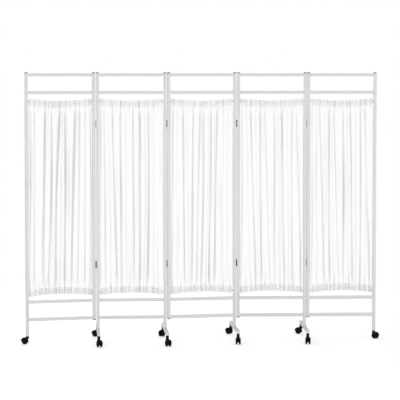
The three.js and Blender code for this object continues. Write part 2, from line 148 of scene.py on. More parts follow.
class CurtainSettings(bpy.types.PropertyGroup):
    """Sizes of the gathered curtains."""

    top: FloatProperty(name="Top edge", description="Height of the top edge beside the posts", default=1.5368,
                       unit="LENGTH")
    bottom: FloatProperty(name="Bottom edge", description="Height of the bottom edge beside the posts", default=0.2932,
                          unit="LENGTH")
    sag: FloatProperty(name="Sag", description="How far the top edge hangs lower in the middle", default=0.0141,
                       unit="LENGTH")
    rise: FloatProperty(name="Rise", description="How far the bottom edge is drawn up in the middle", default=0.0154,
                        unit="LENGTH")
    half_width: FloatProperty(name="Half width", description="Half of the gathered width", default=0.20105,
                              unit="LENGTH")
    casing: FloatProperty(name="Casing", description="Height of the casing that holds a cord", default=0.039,
                          unit="LENGTH")
    cloth: FloatProperty(name="Cloth", description="Thickness of the cloth", default=0.0004, unit="LENGTH")
    pocket_depth: FloatProperty(name="Pocket depth", description="How far the deepest creases reach back",
                                default=0.014, unit="LENGTH")
    pocket_width: FloatProperty(name="Pocket width", description="Width of the deepest creases behind the cloth",
                                default=0.022, unit="LENGTH")
    gathers: IntProperty(name="Gathers", description="Small pleats along each casing", default=26, min=4)
    gather_depth: FloatProperty(name="Gather depth", description="Depth of the small pleats", default=0.004,
                                unit="LENGTH")
    cord: FloatProperty(name="Cord radius", description="Radius of the stretched cord", default=0.0016,
                        unit="LENGTH")
    seed: IntProperty(name="Seed", description="Start of the random places of small pleats", default=36)


def colour(name, description, value):
    """A colour that a user would change."""
    return FloatVectorProperty(name=name, description=description, default=value, subtype="COLOR", size=3,
                               min=0, max=1)


class FinishSettings(bpy.types.PropertyGroup):
    """Colours of the finishes."""

    frame_paint: colour("Frame paint", "Satin powder coat on tubes and feet", (0.62, 0.62, 0.622))
    cloth: colour("Curtain cloth", "Thin white voile", (0.95, 0.95, 0.95))
    cap: colour("Post caps", "Grey moulded caps", (0.10, 0.10, 0.105))
    caster: colour("Caster plastic", "Black moulded nylon", (0.003, 0.003, 0.0032))
    tyre: colour("Tread", "Black rubber tread", (0.004, 0.004, 0.0042))
    steel: colour("Hinge steel", "Dark blued steel", (0.04, 0.04, 0.043))
    floor: colour("Floor", "Pale floor", (0.75, 0.75, 0.75))


GROUPS = {
    "ward_tube": TubeSettings,
    "ward_hinge": HingeSettings,
    "ward_caster": CasterSettings,
    "ward_curtain": CurtainSettings,
    "ward_finish": FinishSettings,
}


# Surfaces


def around(angle):
    """Points on the unit circle."""
    return np.stack([np.cos(angle), np.sin(angle)], 1)


def unit(vectors):
    """The vectors, each divided by its length."""
    return vectors / np.linalg.norm(vectors, axis=1, keepdims=True)


def rounded_square(width, corner, steps=5):
    """A ring in a plane: four quarter circles of the corner radius, whose centres stand corner inside the square."""
    turn = np.linspace(0, math.pi / 2, steps + 1)
    middle = width / 2 - corner
    arcs = []
    for quarter in range(4):
        angle = turn + quarter * math.pi / 2
        centre = middle * np.array([(1, 1), (-1, 1), (-1, -1), (1, -1)][quarter])
        arcs.append(centre + corner * around(angle))
    return np.concatenate(arcs)


def circle(radius, steps):
    """A ring of points at the radius, at equal angles."""
    return radius * around(np.arange(steps) * 2 * math.pi / steps)


def signed_volume(points, faces):
    """Six times the volume inside the faces: the sum of each fan triangle's triple product."""
    total = 0.0
    for face in faces:
        face = np.asarray(face)
        a, b, c = points[face[..., :1]], points[face[..., 1:-1]], points[face[..., 2:]]
        total += float((a * np.cross(b, c)).sum())
    return total


def shell(rings, loop=False, closed=True):
    """A surface through rings of matching points: rings[i, j] joins rings[i + 1, j] and rings[i, j + 1].
    loop joins the last ring to the first. Without it a flat face closes the first and the last ring. An open sheet
    isn't closed. The map that comes with it holds distances in metres, round the rings and from ring to ring."""
    rings = np.asarray(rings, float)
    count, size = rings.shape[:2]
    index = np.arange(count * size).reshape(count, size)
    if loop:
        index = np.concatenate([index, index[:1]])
    if closed:
        index = np.concatenate([index, index[:, :1]], 1)
    quads = np.stack([index[:-1, :-1], index[:-1, 1:], index[1:, 1:], index[1:, :-1]], -1).reshape(-1, 4)
    points = rings.reshape(-1, 3)
    placed = points[index]
    across = np.linalg.norm(np.diff(placed, axis=1), axis=2).mean(0)
    along = np.linalg.norm(np.diff(placed, axis=0), axis=2).mean(1)
    u, v = (np.concatenate([[0], np.cumsum(steps)]) for steps in (across, along))
    grid = np.stack(np.meshgrid(u, v), -1)
    uv = np.stack([grid[:-1, :-1], grid[:-1, 1:], grid[1:, 1:], grid[1:, :-1]], -2).reshape(-1, 4, 2)
    polygons = [index[0, :size][::-1], index[-1, :size]] if closed and not loop else []
    if closed and signed_volume(points, [quads, *[p[None] for p in polygons]]) < 0:
        quads, uv, polygons = quads[:, ::-1], uv[:, ::-1], [p[::-1] for p in polygons]
    uv = np.concatenate([uv.reshape(-1, 2), *[points[p][:, :2] for p in polygons]])
    return {"points": points, "quads": quads, "polygons": polygons, "uv": uv}


def on_axis(axis, across, up, along):
    """Points from two coordinates across the axis and the one along it."""
    return np.stack({"z": (across, up, along), "y": (across, along, up), "x": (along, across, up)}[axis], -1)


def level(ring, place, axis="z"):
    """A flat ring, at its place along the axis."""
    return on_axis(axis, ring[:, 0], ring[:, 1], np.full(len(ring), place))


def turned(profile, steps, axis="z"):
    """A surface of revolution: profile is a row of (distance from the axis, place along it), turned in equal steps."""
    profile = np.asarray(profile, float)
    ring = circle(1, steps)
    r, h = profile[:, :1], profile[:, 1:]
    across, up = r * ring[:, 0], r * ring[:, 1]
    return shell(on_axis(axis, across, up, np.broadcast_to(h, across.shape)))


def carried(section, path, upward=(0, 0, 1), loop=False, scale=None):
    """A section carried along a path: at each point it stands square to the path, with its second axis nearest upward.
    scale sets the section's size at each point."""
    path = np.asarray(path, float)
    ahead = unit(np.roll(path, -1, 0) - np.roll(path, 1, 0) if loop else np.gradient(path, axis=0))
    side = unit(np.cross(ahead, upward))
    rise = np.cross(side, ahead)
    size = np.ones(len(path)) if scale is None else np.asarray(scale, float)
    flat = np.asarray(section, float)[None] * size[:, None, None]
    rings = path[:, None] + flat[..., :1] * side[:, None] + flat[..., 1:] * rise[:, None]
    return shell(rings, loop=loop)


def bar(width, corner, stations, axis="z"):
    """Rings of a square bar with rounded corners, one for each (place along the axis, how much less wide on a side)."""
    return [level(rounded_square(width - 2 * narrower, max(corner - narrower, corner / 4)), place, axis)
            for place, narrower in stations]


def moved(part, turn=0.0, place=(0, 0, 0)):
    """The part turned about the upright axis through the origin, then moved to the place."""
    c, s = math.cos(turn), math.sin(turn)
    points = part["points"] @ np.array([[c, s, 0], [-s, c, 0], [0, 0, 1]]) + np.asarray(place, float)
    return {**part, "points": points}


def piece(name, parts, material, body, replaces=(), stand=None, sharp=math.radians(35)):
    """One object made of the parts, at the origin, smooth where neighbouring faces meet at less than the sharp angle.
    stand is the turn and the place that the parts are given."""
    points, faces, uv, first = [], [], [], 0
    for part in parts if stand is None else [moved(part, *stand) for part in parts]:
        points.append(part["points"])
        faces += (part["quads"] + first).tolist() + [(p + first).tolist() for p in part["polygons"]]
        uv.append(part["uv"])
        first += len(part["points"])
    mesh = bpy.data.meshes.new(name)
    mesh.from_pydata(np.concatenate(points).tolist(), [], faces)
    layer = mesh.uv_layers.new(name="Surface")
    layer.data.foreach_set("uv", np.concatenate(uv).astype(np.float32).ravel())
    mesh.shade_smooth()
    mesh.set_sharp_from_angle(angle=sharp)
    mesh.materials.append(material)
    obj = bpy.data.objects.new(name, mesh)
    bpy.context.scene.collection.objects.link(obj)
    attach(obj, body)
    if replaces:
        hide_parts(*replaces)
    return obj


def point_values(obj, name, parts, values):
    """Puts numbers on the points of the object's mesh, under the name: for each part, one number or one a point."""
    spread = [np.broadcast_to(np.ravel(value), len(part["points"])) for part, value in zip(parts, values)]
    layer = obj.data.attributes.new(name, "FLOAT", "POINT")
    layer.data.foreach_set("value", np.concatenate(spread).astype(np.float32))


def centre_of(node):
    """The middle of a CAD node's box."""
    low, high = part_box(node)
    return (np.array(low) + np.array(high)) / 2


def panel_place(panel):
    """(turn, middle) of a panel: the line between the axes of its two posts, which its top caps are centred on."""
    left, right = (centre_of(f"panel_{panel}_top_cap_{side}") for side in ("left", "right"))
    along = right - left
    middle = (left + right) / 2
    return math.atan2(along[1], along[0]), np.array([middle[0], middle[1], 0])


def post_spread():
    """Distance from a panel's middle to the axis of either post."""
    left, right = (centre_of(f"panel_1_top_cap_{side}") for side in ("left", "right"))
    return float(np.linalg.norm((right - left)[:2])) / 2


HALF_PITCH = post_spread()
POST_FACE = HALF_PITCH - 0.0095  # from a panel's middle to the inner face of either post
CLEAR = 0.0003  # gap between pieces that fit together
HALF_GAP = 0.0015  # half of the gap between the posts of two panels
HINGE_LOWS = tuple(float(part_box(f"hinge_1_{which}_pin")[0][2]) for which in ("upper", "lower"))


# Finishes


class Nodes:
    """Shorthand for building the nodes of a material or a world round its first shader."""

    def __init__(self, owner, shader="Principled BSDF"):
        self.owner = owner
        owner.use_nodes = True
        self.tree = owner.node_tree
        self.shader = self.tree.nodes[shader]

    def add(self, kind, inputs=None, **settings):
        node = self.tree.nodes.new(kind)
        for key, value in settings.items():
            setattr(node, key, value)
        for key, value in (inputs or {}).items():
            self.feed(node, key, value)
        return node

    def feed(self, node, key, value):
        if isinstance(value, bpy.types.NodeSocket):
            self.tree.links.new(value, node.inputs[key])
        else:
            node.inputs[key].default_value = value

    def math(self, operation, *values):
        return self.add("ShaderNodeMath", dict(enumerate(values)), operation=operation).outputs[0]

    def noise(self, place, scale, detail=3.0, roughness=0.5):
        inputs = {"Vector": place, "Scale": scale, "Detail": detail, "Roughness": roughness}
        return self.add("ShaderNodeTexNoise", inputs).outputs["Fac"]

    def blend(self, share, first, second):
        inputs = {0: share, 6: (*first, 1), 7: (*second, 1)}
        return self.add("ShaderNodeMix", inputs, data_type="RGBA").outputs[2]

    def spread(self, value, low, high, new_low, new_high):
        inputs = {0: value, 1: low, 2: high, 3: new_low, 4: new_high}
        return self.add("ShaderNodeMapRange", inputs).outputs[0]

    def object_place(self):
        return self.add("ShaderNodeTexCoord").outputs["Object"]

    def surface_place(self):
        return self.add("ShaderNodeUVMap", uv_map="Surface").outputs["UV"]

    def stretched(self, place, scale):
        return self.add("ShaderNodeMapping", {"Vector": place, "Scale": scale}).outputs[0]

    def bump(self, height, distance, strength=1.0, under=None):
        inputs = {"Height": height, "Distance": distance, "Strength": strength}
        if under is not None:
            inputs["Normal"] = under
        return self.add("ShaderNodeBump", inputs).outputs[0]

    def seen(self):
        """1 for rays that come from the camera, off a glossy surface or through a clear one, and 0 for others."""
        rays = self.add("ShaderNodeLightPath").outputs
        through = self.math("MAXIMUM", rays["Is Glossy Ray"], rays["Is Transmission Ray"])
        return self.math("MAXIMUM", rays["Is Camera Ray"], through)

    def finish(self, **sockets):
        for key, value in sockets.items():
            self.feed(self.shader, key.replace("_", " "), value)
        return self.owner


def tinted(value, share):
    """The colour times the share, with each channel kept from 0 to 1."""
    return tuple(min(1, max(0, channel * share)) for channel in value)


def shade_of(name):
    """The colour that the settings hold under that name."""
    return tuple(getattr(bpy.context.scene.ward_finish, name))


def powder_coat(n):
    """Satin powder coat: fine orange peel, a slow drift of tone, and colour a little darker where the peel is low."""
    paint = shade_of("frame_paint")
    place = n.object_place()
    drift = n.noise(place, 6.0, 2.0)
    peel = n.noise(place, 900.0, 2.0)
    tone = n.spread(n.math("ADD", n.math("MULTIPLY", drift, 0.7), n.math("MULTIPLY", peel, 0.3)), 0.3, 0.7, 0, 1)
    return n.finish(
        Base_Color=n.blend(tone, tinted(paint, 0.965), tinted(paint, 1.025)),
        Roughness=n.spread(n.noise(place, 40.0), 0.3, 0.7, 0.38, 0.5),
        Normal=n.bump(peel, 0.00012, 0.5),
        Specular_IOR_Level=0.35,
        Coat_Weight=0.06,
        Coat_Roughness=0.25,
    )


def moulded(n, colour_name, grain, rough_low, rough_high, gloss):
    """Moulded plastic: an even spark-eroded grain, scuffed a little lighter in broad patches."""
    shade = shade_of(colour_name)
    place = n.object_place()
    grain_height = n.noise(place, grain, 3.0, 0.6)
    scuff = n.spread(n.noise(place, 85.0, 4.0, 0.65), 0.48, 0.75, 0, 1)
    return n.finish(
        Base_Color=n.blend(scuff, shade, tuple(channel * 1.5 + 0.0015 for channel in shade)),
        Roughness=n.spread(grain_height, 0.3, 0.7, rough_low, rough_high),
        Normal=n.bump(grain_height, 0.00008, 0.7),
        Specular_IOR_Level=gloss,
    )


def tread_rubber(n):
    """Rubber tread: fine grooves round the wheel on its own map, and dust in patches."""
    shade = shade_of("tyre")
    place = n.surface_place()
    wave = n.add("ShaderNodeTexWave", {"Vector": n.stretched(place, (0, 1, 0)), "Scale": 170.0},
                 bands_direction="Y").outputs["Fac"]
    grain = n.noise(place, 1400.0, 3.0)
    dust = n.spread(n.noise(n.object_place(), 60.0, 4.0), 0.5, 0.8, 0, 1)
    return n.finish(
        Base_Color=n.blend(dust, shade, tuple(channel * 1.6 + 0.003 for channel in shade)),
        Roughness=n.spread(grain, 0.3, 0.7, 0.62, 0.82),
        Normal=n.bump(grain, 0.0001, 0.5, n.bump(wave, 0.00025, 0.6)),
        Specular_IOR_Level=0.08,
    )


def blued_steel(n, coated=False):
    """Dark blued steel: brushed along the leaf, worn to brighter metal in flecks.
    Coated steel has the frame's paint over it where the attribute Painted says so."""
    shade = shade_of("steel")
    place = n.object_place()
    brushed = n.noise(n.stretched(place, (3000, 3000, 160)), 1.0, 3.0)
    worn = n.spread(n.noise(place, 320.0, 5.0, 0.7), 0.56, 0.7, 0, 1)
    bare = n.blend(worn, shade, tinted(shade, 2.6))
    n.finish(
        Base_Color=bare,
        Roughness=n.spread(brushed, 0.3, 0.7, 0.42, 0.6),
        Normal=n.bump(brushed, 0.00004, 0.6),
        Metallic=0.4,
        Specular_IOR_Level=0.3,
    )
    if coated:
        painted = n.add("ShaderNodeAttribute", attribute_name="Painted").outputs["Fac"]
        paint = (*shade_of("frame_paint"), 1)
        cover = n.add("ShaderNodeMix", {0: painted, 6: bare, 7: paint}, data_type="RGBA").outputs[2]
        n.finish(Base_Color=cover, Metallic=n.math("MULTIPLY", n.math("SUBTRACT", 1.0, painted), 0.4))
    return n.owner


def voile(n, cut_length):
    """Thin voile: a plain weave of warp and weft, uneven yarns, and a row of lockstitches along each casing.
    The map holds metres of flat cloth, across and down. The attribute Shaded holds painted shade for the creases, the
    pleats, the faint folds and the rows just under the stitches: there the colour is painted darker, and the cloth
    hides more of what is behind it."""
    casing, shade = bpy.context.scene.ward_curtain.casing, shade_of("cloth")
    place = n.surface_place()
    split = n.add("ShaderNodeSeparateXYZ", {0: place})
    across, down = split.outputs[0], split.outputs[1]
    yarn_pitch, stitch_pitch, stitch_half_width, stitch_start = 0.0007, 0.0032, 0.0006, -0.35
    one_layer_hides, folds_hide_more = 0.315, 0.36
    warp, weft = (n.math("SINE", n.math("MULTIPLY", way, 2 * math.pi / yarn_pitch)) for way in (across, down))
    weave = n.math("MULTIPLY", warp, weft)
    slub = n.noise(n.stretched(place, (900, 26, 1)), 1.0, 4.0, 0.6)
    crumple = n.noise(n.stretched(place, (60, 18, 1)), 1.0, 5.0, 0.55)
    lines = [n.math("LESS_THAN", n.math("ABSOLUTE", n.math("SUBTRACT", down, line)), stitch_half_width)
             for line in (casing, cut_length - casing)]
    dashes = n.math("GREATER_THAN", n.math("SINE", n.math("MULTIPLY", across, 2 * math.pi / stitch_pitch)),
                    stitch_start)
    stitches = n.math("MULTIPLY", n.math("MAXIMUM", *lines), dashes)
    painted_fold_shade = n.add("ShaderNodeAttribute", attribute_name="Shaded").outputs["Fac"]
    even = n.math("SUBTRACT", n.spread(slub, 0.25, 0.75, 0.85, 1), n.math("MULTIPLY", stitches, 0.25))
    # painted shade: the base colour is darkened as far as the attribute Shaded says, and the cloth is made less clear
    # there
    tone = n.math("SUBTRACT", even, n.math("MULTIPLY", painted_fold_shade, 0.8))
    return n.finish(
        Base_Color=n.blend(tone, tinted(shade, 0.78), shade),
        Roughness=0.9,
        Normal=n.bump(stitches, 0.0004, 0.6, n.bump(weave, 0.00008, 0.3, n.bump(crumple, 0.0006, 0.4))),
        Alpha=n.math("ADD", n.math("MULTIPLY", painted_fold_shade, folds_hide_more), one_layer_hides),
        Sheen_Weight=0.15,
        Sheen_Roughness=0.5,
        Specular_IOR_Level=0.2,
    )


def elastic(n):
    """White covered elastic: a spiral of cover yarn."""
    place = n.surface_place()
    spiral = n.add("ShaderNodeTexWave", {"Vector": n.stretched(place, (1, 1, 0)), "Scale": 150.0},
                   bands_direction="DIAGONAL").outputs["Fac"]
    return n.finish(
        Base_Color=n.blend(spiral, (0.7, 0.7, 0.7), (0.86, 0.86, 0.86)),
        Roughness=0.8,
        Normal=n.bump(spiral, 0.0002, 0.7),
    )


def pale_floor(n):
    """A pale floor that the camera sees as white away from the screen and that still takes its shadow."""
    shade = shade_of("floor")
    place = n.object_place()
    seen = n.seen()
    distance = n.add("ShaderNodeVectorMath", {0: place}, operation="LENGTH").outputs["Value"]
    far = n.spread(distance, 1.4, 3.2, 0, 1)
    n.finish(Base_Color=n.blend(n.noise(place, 30.0), tinted(shade, 0.98), tinted(shade, 1.02)), Roughness=0.9,
             Emission_Color=(1, 1, 1, 1), Emission_Strength=n.math("MULTIPLY", seen, 0.45))
    white = n.add("ShaderNodeEmission", {"Color": (1, 1, 1, 1), "Strength": 1.0}).outputs[0]
    mix = n.add("ShaderNodeMixShader", {0: n.math("MULTIPLY", far, seen), 1: n.shader.outputs[0], 2: white})
    n.feed(n.tree.nodes["Material Output"], "Surface", mix.outputs[0])
    return n.owner


FINISHES = {  # name of the material: its maker and what the maker is told
    "powder_coat": (powder_coat,),
    "cap_plastic": (moulded, "cap", 1500.0, 0.5, 0.68, 0.1),
    "caster_nylon": (moulded, "caster", 1100.0, 0.36, 0.52, 0.04),
    "tread_rubber": (tread_rubber,),
    "blued_steel": (blued_steel,),
    "coated_steel": (blued_steel, True),
    "voile": (voile,),
    "elastic": (elastic,),
    "pale_floor": (pale_floor,),
}


def finish(name, *more):
    """The material of that name, made if it isn't there yet."""
    maker, *told = FINISHES[name]
    return bpy.data.materials.get(name) or maker(Nodes(bpy.data.materials.new(name)), *told, *more)


# Frames


def post_low(end):
    """Height of the bottom of a post that ends in a caster, a foot or a cap."""
    tube = bpy.context.scene.ward_tube
    return {"caster": tube.caster_post_low, "foot": tube.foot_post_low, "cap": tube.short_post_low}[end]


def open_tube(low, high, tube, inner_corner, axis="z"):
    """A tube with open ends: its outside, its inside and a chamfered rim at each end, joined in a loop."""
    rim = tube.wall / 4
    outside = bar(tube.width, tube.corner, [(low, rim), (low + rim, 0), (high - rim, 0), (high, rim)], axis)
    inside = bar(tube.width - 2 * tube.wall, inner_corner, [(high, 0), (low, 0)], axis)
    return shell(outside + inside, loop=True)


def weld_bead(x, height, tube):
    """A bead round a rail's end: a small circle carried along the rail's outline, swelling in even ripples."""
    outline = rounded_square(tube.width, tube.corner, 4)
    lengths = np.linalg.norm(np.roll(outline, -1, 0) - outline, axis=1)
    walk = np.concatenate([[0], np.cumsum(lengths)])
    steps = np.linspace(0, walk[-1], 97)[:-1]
    closed = np.concatenate([outline, outline[:1]])
    y, z = (np.interp(steps, walk, closed[:, i]) for i in (0, 1))
    path = np.stack([np.full_like(y, x), y, z + height], 1)
    ripple = 1 + 0.16 * np.sin(steps / walk[-1] * 2 * math.pi * 30)
    return carried(circle(tube.weld, 8), path, upward=(1, 0, 0), loop=True, scale=ripple)


def stem_socket(tube, low, length=0.024, radius=0.0043):
    """The insert in an end post: a square block with a round hole, its ring of the hole matched to the square's."""
    square = rounded_square(tube.width - 2 * tube.wall, tube.wall, 5)
    angle = np.arctan2(square[:, 1], square[:, 0])
    hole = radius * around(angle)
    high = low + length
    return shell([level(square, low), level(square, high), level(hole, high), level(hole, low)], loop=True)


class WARDSCREEN_OT_frames(bpy.types.Operator):
    """Builds the five welded tube frames"""

    bl_idname = "ward_screen.frames"
    bl_label = "Build frames"

    def execute(self, context):
        tube = context.scene.ward_tube
        face = HALF_PITCH - tube.width / 2
        reach = face + tube.corner
        inner_corner = max(tube.corner - tube.wall, tube.wall / 2)
        for panel in PANELS:
            parts = []
            for side, end in zip((-1, 1), POST_ENDS[panel]):
                post = open_tube(post_low(end), tube.post_top, tube, inner_corner)
                parts.append(moved(post, 0, (side * HALF_PITCH, 0, 0)))
                if end == "caster":
                    low = context.scene.ward_caster.neck_top + CLEAR
                    parts.append(moved(stem_socket(tube, low), 0, (side * HALF_PITCH, 0, 0)))
            for height in RAIL_HEIGHTS:
                rail = shell(bar(tube.width, tube.corner, [(-reach, 0), (reach, 0)], "x"))
                parts.append(moved(rail, 0, (0, 0, height)))
                parts += [weld_bead(side * (face - tube.weld / 3), height, tube) for side in (-1, 1)]
            piece(f"panel_{panel}_tubes", parts, finish("powder_coat"), f"panel_{panel}",
                  [f"panel_{panel}_frame"], panel_place(panel))
        return {"FINISHED"}


# Caps


def post_cap(tube, seat, upward):
    """A cap: a plug in the tube, a flange over its end and a low dome, as square rings whose width follows the
    cosine of the dome's angle."""
    plug = (tube.width - 2 * tube.wall) / 2 - CLEAR
    half, flange, rise = tube.width / 2, 0.0022, 0.004
    rings = [(-0.014, plug - 0.001), (-0.013, plug), (-0.0002, plug), (0, half - 0.0003), (0.0003, half)]
    for angle in np.radians((0, 12, 25, 38, 52, 65, 76, 84)):
        rings.append((flange + rise * math.sin(angle), half * max(math.cos(angle), 0.02) ** 0.62))
    return shell([level(rounded_square(2 * reach, min(tube.corner, reach * 0.5)), seat + upward * place)
                  for place, reach in rings])


class WARDSCREEN_OT_caps(bpy.types.Operator):
    """Builds the caps on the posts"""

    bl_idname = "ward_screen.caps"
    bl_label = "Build post caps"

    def execute(self, context):
        tube = context.scene.ward_tube
        for panel in PANELS:
            parts, nodes = [], []
            for side, name, end in zip((-1, 1), ("left", "right"), POST_ENDS[panel]):
                place = (side * HALF_PITCH, 0, 0)
                parts.append(moved(post_cap(tube, tube.post_top + CLEAR, 1), 0, place))
                nodes.append(f"panel_{panel}_top_cap_{name}")
                if end == "cap":
                    parts.append(moved(post_cap(tube, tube.short_post_low - CLEAR, -1), 0, place))
                    nodes.append(f"panel_{panel}_bottom_cap_{name}")
            piece(f"panel_{panel}_caps", parts, finish("cap_plastic"), f"panel_{panel}", nodes,
                  panel_place(panel))
        return {"FINISHED"}


# Hinges


def rolled_knuckle(side, pin_side, span, hinge, edge, pin_y):
    """A knuckle: a strip of leaf that runs out past the post's face and rolls round the pin.
    Its middle line goes straight to the roll's circle and follows that for 300 degrees."""
    roll = hinge.pin + CLEAR + hinge.leaf / 2
    leaf_x = side * (CLEAR + hinge.leaf / 2)
    start = np.array([leaf_x, edge - pin_side * 0.002])
    sweep = np.radians(np.linspace(0, 300, 22)) * side * pin_side
    roll_x = side * roll * np.cos(sweep)
    roll_y = pin_y + side * roll * np.sin(sweep)
    line = np.concatenate([[start], np.column_stack([roll_x, roll_y])])
    ahead = unit(np.gradient(line, axis=0))
    out = np.column_stack([ahead[:, 1], -ahead[:, 0]]) * hinge.leaf / 2
    outline = np.concatenate([line + out, (line - out)[::-1]])
    return shell([level(outline, z) for z in span])


def hinge_leaf(side, pin_side, height, hinge, tube, knuckles):
    """A leaf on a post's side: a plate with rounded corners, whose ring is square to the post, and its knuckles.
    side points from the middle of the gap to the post, and the gap's middle is at x = 0."""
    edge = pin_side * tube.width / 2
    half_y, half_z = hinge.depth / 2, hinge.length / 2
    outline = rounded_square(2, 0.25, 6)
    ring = np.column_stack([edge - pin_side * half_y + outline[:, 0] * half_y, height + outline[:, 1] * half_z])
    parts = [shell([level(ring, x, "x") for x in (side * CLEAR, side * (CLEAR + hinge.leaf))])]
    pin_y = pin_side * (tube.width / 2 + hinge.pin + CLEAR + hinge.leaf + CLEAR)
    pitch = hinge.length / 3
    for index in knuckles:
        span = [height - half_z + index * pitch + CLEAR / 2, height - half_z + (index + 1) * pitch - CLEAR / 2]
        parts.append(rolled_knuckle(side, pin_side, span, hinge, edge, pin_y))
    return parts


def hinge_pin(hinge, height):
    """A pin with a domed head at each end, turned about the upright axis."""
    half, head = hinge.length / 2, hinge.pin * 1.6
    profile = [(head * 0.45, -half - 0.0013), (head * 0.85, -half - 0.0009), (head, -half - 0.0002)]
    profile += [(hinge.pin, -half - 0.0001), (hinge.pin, half + 0.0001)]
    profile += [(head, half + 0.0002), (head * 0.85, half + 0.0011), (head * 0.45, half + 0.0016)]
    return moved(turned(profile, 20), 0, (0, 0, height))


def paint_over(joint, low, side):
    """How much of the frame's paint covers a hinge: most of the first upper one, and half of the middle knuckles of
    the others up there, which are on the leaves of the panels to the right."""
    if low != HINGE_LOWS[0]:
        return 0.0
    return 0.85 if joint == 1 else 0.5 if side < 0 else 0.0


class WARDSCREEN_OT_hinges(bpy.types.Operator):
    """Builds the hinge leaves, their knuckles and their pins"""

    bl_idname = "ward_screen.hinges"
    bl_label = "Build hinges"

    def execute(self, context):
        hinge, tube = context.scene.ward_hinge, context.scene.ward_tube
        gap_middle = HALF_PITCH + tube.width / 2 + HALF_GAP
        for panel in PANELS:
            parts, paint = [], []
            for joint, side, knuckles in ((panel - 1, -1, (1,)), (panel, 1, (0, 2))):
                if joint not in PIN_SIDES:
                    continue
                for low in HINGE_LOWS:
                    leaf = hinge_leaf(-side, PIN_SIDES[joint], low + hinge.length / 2, hinge, tube, knuckles)
                    parts += [moved(part, 0, (side * gap_middle, 0, 0)) for part in leaf]
                    paint += [paint_over(joint, low, side)] * len(leaf)
            obj = piece(f"panel_{panel}_hinge_leaves", parts, finish("coated_steel"), f"panel_{panel}",
                        stand=panel_place(panel))
            point_values(obj, "Painted", parts, paint)
        for joint in PIN_SIDES:
            nodes = [f"hinge_{joint}_{which}_pin" for which in ("upper", "lower")]
            pins, paint = [], []
            for node, low in zip(nodes, HINGE_LOWS):
                x, y, _ = centre_of(node)
                pins.append(moved(hinge_pin(hinge, low + hinge.length / 2), 0, (x, y, 0)))
                paint.append(paint_over(joint, low, 1))
            obj = piece(f"hinge_{joint}_pins", pins, finish("coated_steel"), f"panel_{joint}", nodes)
            point_values(obj, "Painted", pins, paint)
        return {"FINISHED"}


# Feet


def end_plug(tube, outer, side):
    """A plug in the end of a foot: square rings that round over to a flat face."""
    inside = tube.wall + 0.0002
    stations = [(0.012, inside), (0.0024, inside), (0.0023, 0.0001), (0.0012, 0), (0.0005, 0.0003), (0.0001, 0.0009),
                (0, 0.002)]
    return shell(bar(tube.width, tube.corner, [(side * (outer - back), narrower) for back, narrower in stations], "y"))


def foot_bead(radius, size):
    """The weld round a foot's spigot, under the post's end: a small circle carried round it, in even ripples."""
    angle = np.arange(96) * 2 * math.pi / 96
    path = level(radius * around(angle), -size * 0.8)
    return carried(circle(size, 8), path, loop=True, scale=0.9 + 0.1 * np.sin(30 * angle))


class WARDSCREEN_OT_feet(bpy.types.Operator):
    """Builds the four feet under the long posts"""

    bl_idname = "ward_screen.feet"
    bl_label = "Build feet"

    def execute(self, context):
        tube = context.scene.ward_tube
        for foot, panel in FEET.items():
            low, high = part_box(f"foot_{foot}")
            front, back = (JOINTS[f"foot_{foot}_{end}_caster_swivel"]["pos_m"] for end in ("front", "back"))
            middle = (np.array(front) + np.array(back)) / 2
            turn = math.atan2(front[0] - back[0], back[1] - front[1])
            past_stem, plug_head = 0.014, 0.0025
            reach = math.dist(front[:2], back[:2]) / 2 + past_stem
            height = low[2] + tube.width / 2
            cut = reach - plug_head
            body = open_tube(-cut, cut, tube, tube.wall, "y")
            place = (middle[0], middle[1], height)
            round_half, top = tube.width / 2 - tube.wall - CLEAR, high[2] - height
            spigot = turned([(round_half, 0.0088), (round_half, top - 0.001), (round_half - 0.001, top)], 32)
            collar = moved(foot_bead(round_half - 0.0004, tube.weld), 0, (0, 0, tube.width / 2))
            piece(f"foot_{foot}_tube", [body, spigot, collar], finish("powder_coat"), f"panel_{panel}",
                  [f"foot_{foot}"], (turn, place))
            piece(f"foot_{foot}_end_plugs", [end_plug(tube, reach, side) for side in (-1, 1)], finish("powder_coat"),
                  f"panel_{panel}", stand=(turn, place))
        return {"FINISHED"}


# Casters


def caster_place(caster):
    """(turn, stem) of a caster at rest: its roll axis lies across it, and its stem is the swivel's axis."""
    axis = JOINTS[f"{caster}_roll"]["axis"]
    x, y, _ = JOINTS[f"{caster}_swivel"]["pos_m"]
    return math.atan2(-axis[0], axis[1]), np.array([x, y, 0])


def caster_hood(caster, axle):
    """The hood: an arc over the wheels whose cross-section is a flat arch. Along the arc the roof drops to a lip at
    the front and runs out in a tail, and across it the edge falls in a quarter round."""
    half = caster.web / 2 + caster.wheel_width + 0.0004
    wall = 0.0022
    angle = np.radians(np.linspace(-28, 172, 40))
    run = np.linspace(0, 1, 40)
    roof = caster.hood + 0.004 * run**4
    fall = np.radians(np.linspace(-90, 90, 15))
    across = half * np.sign(np.sin(fall)) * np.abs(np.sin(fall)) ** 0.55
    drop = 0.0058 * (1 - np.cos(fall)) ** 1.3
    outer = np.stack([across, -drop], 1)
    inner = np.stack([across * (1 - wall / half), -drop - wall * (1 - 0.35 * (drop / drop.max()))], 1)[::-1]
    section = np.concatenate([outer, inner])
    radius = roof[:, None] + section[None, :, 1]
    x = -caster.trail + radius * np.cos(angle)[:, None]
    z = axle + radius * np.sin(angle)[:, None]
    y = np.broadcast_to(section[None, :, 0], x.shape)
    return shell(np.stack([x, y, z], -1))


def caster_web(caster, axle):
    """The web between the wheels: an outline of roof arc and hub, made round at its edges by narrower first and
    last rings."""
    angle = np.radians(np.linspace(-24, 168, 34))
    reach = caster.hood - 0.0015
    middle = np.array([-caster.trail, axle])
    hub = np.radians(np.linspace(190, 350, 12))
    outline = np.concatenate([middle + reach * around(angle), middle + 0.0085 * around(hub)])
    half = caster.web / 2
    return shell([level(middle + (outline - middle) * share, y, "y")
                  for y, share in ((-half, 0.95), (-half + 0.0008, 1), (half - 0.0008, 1), (half, 0.95))])


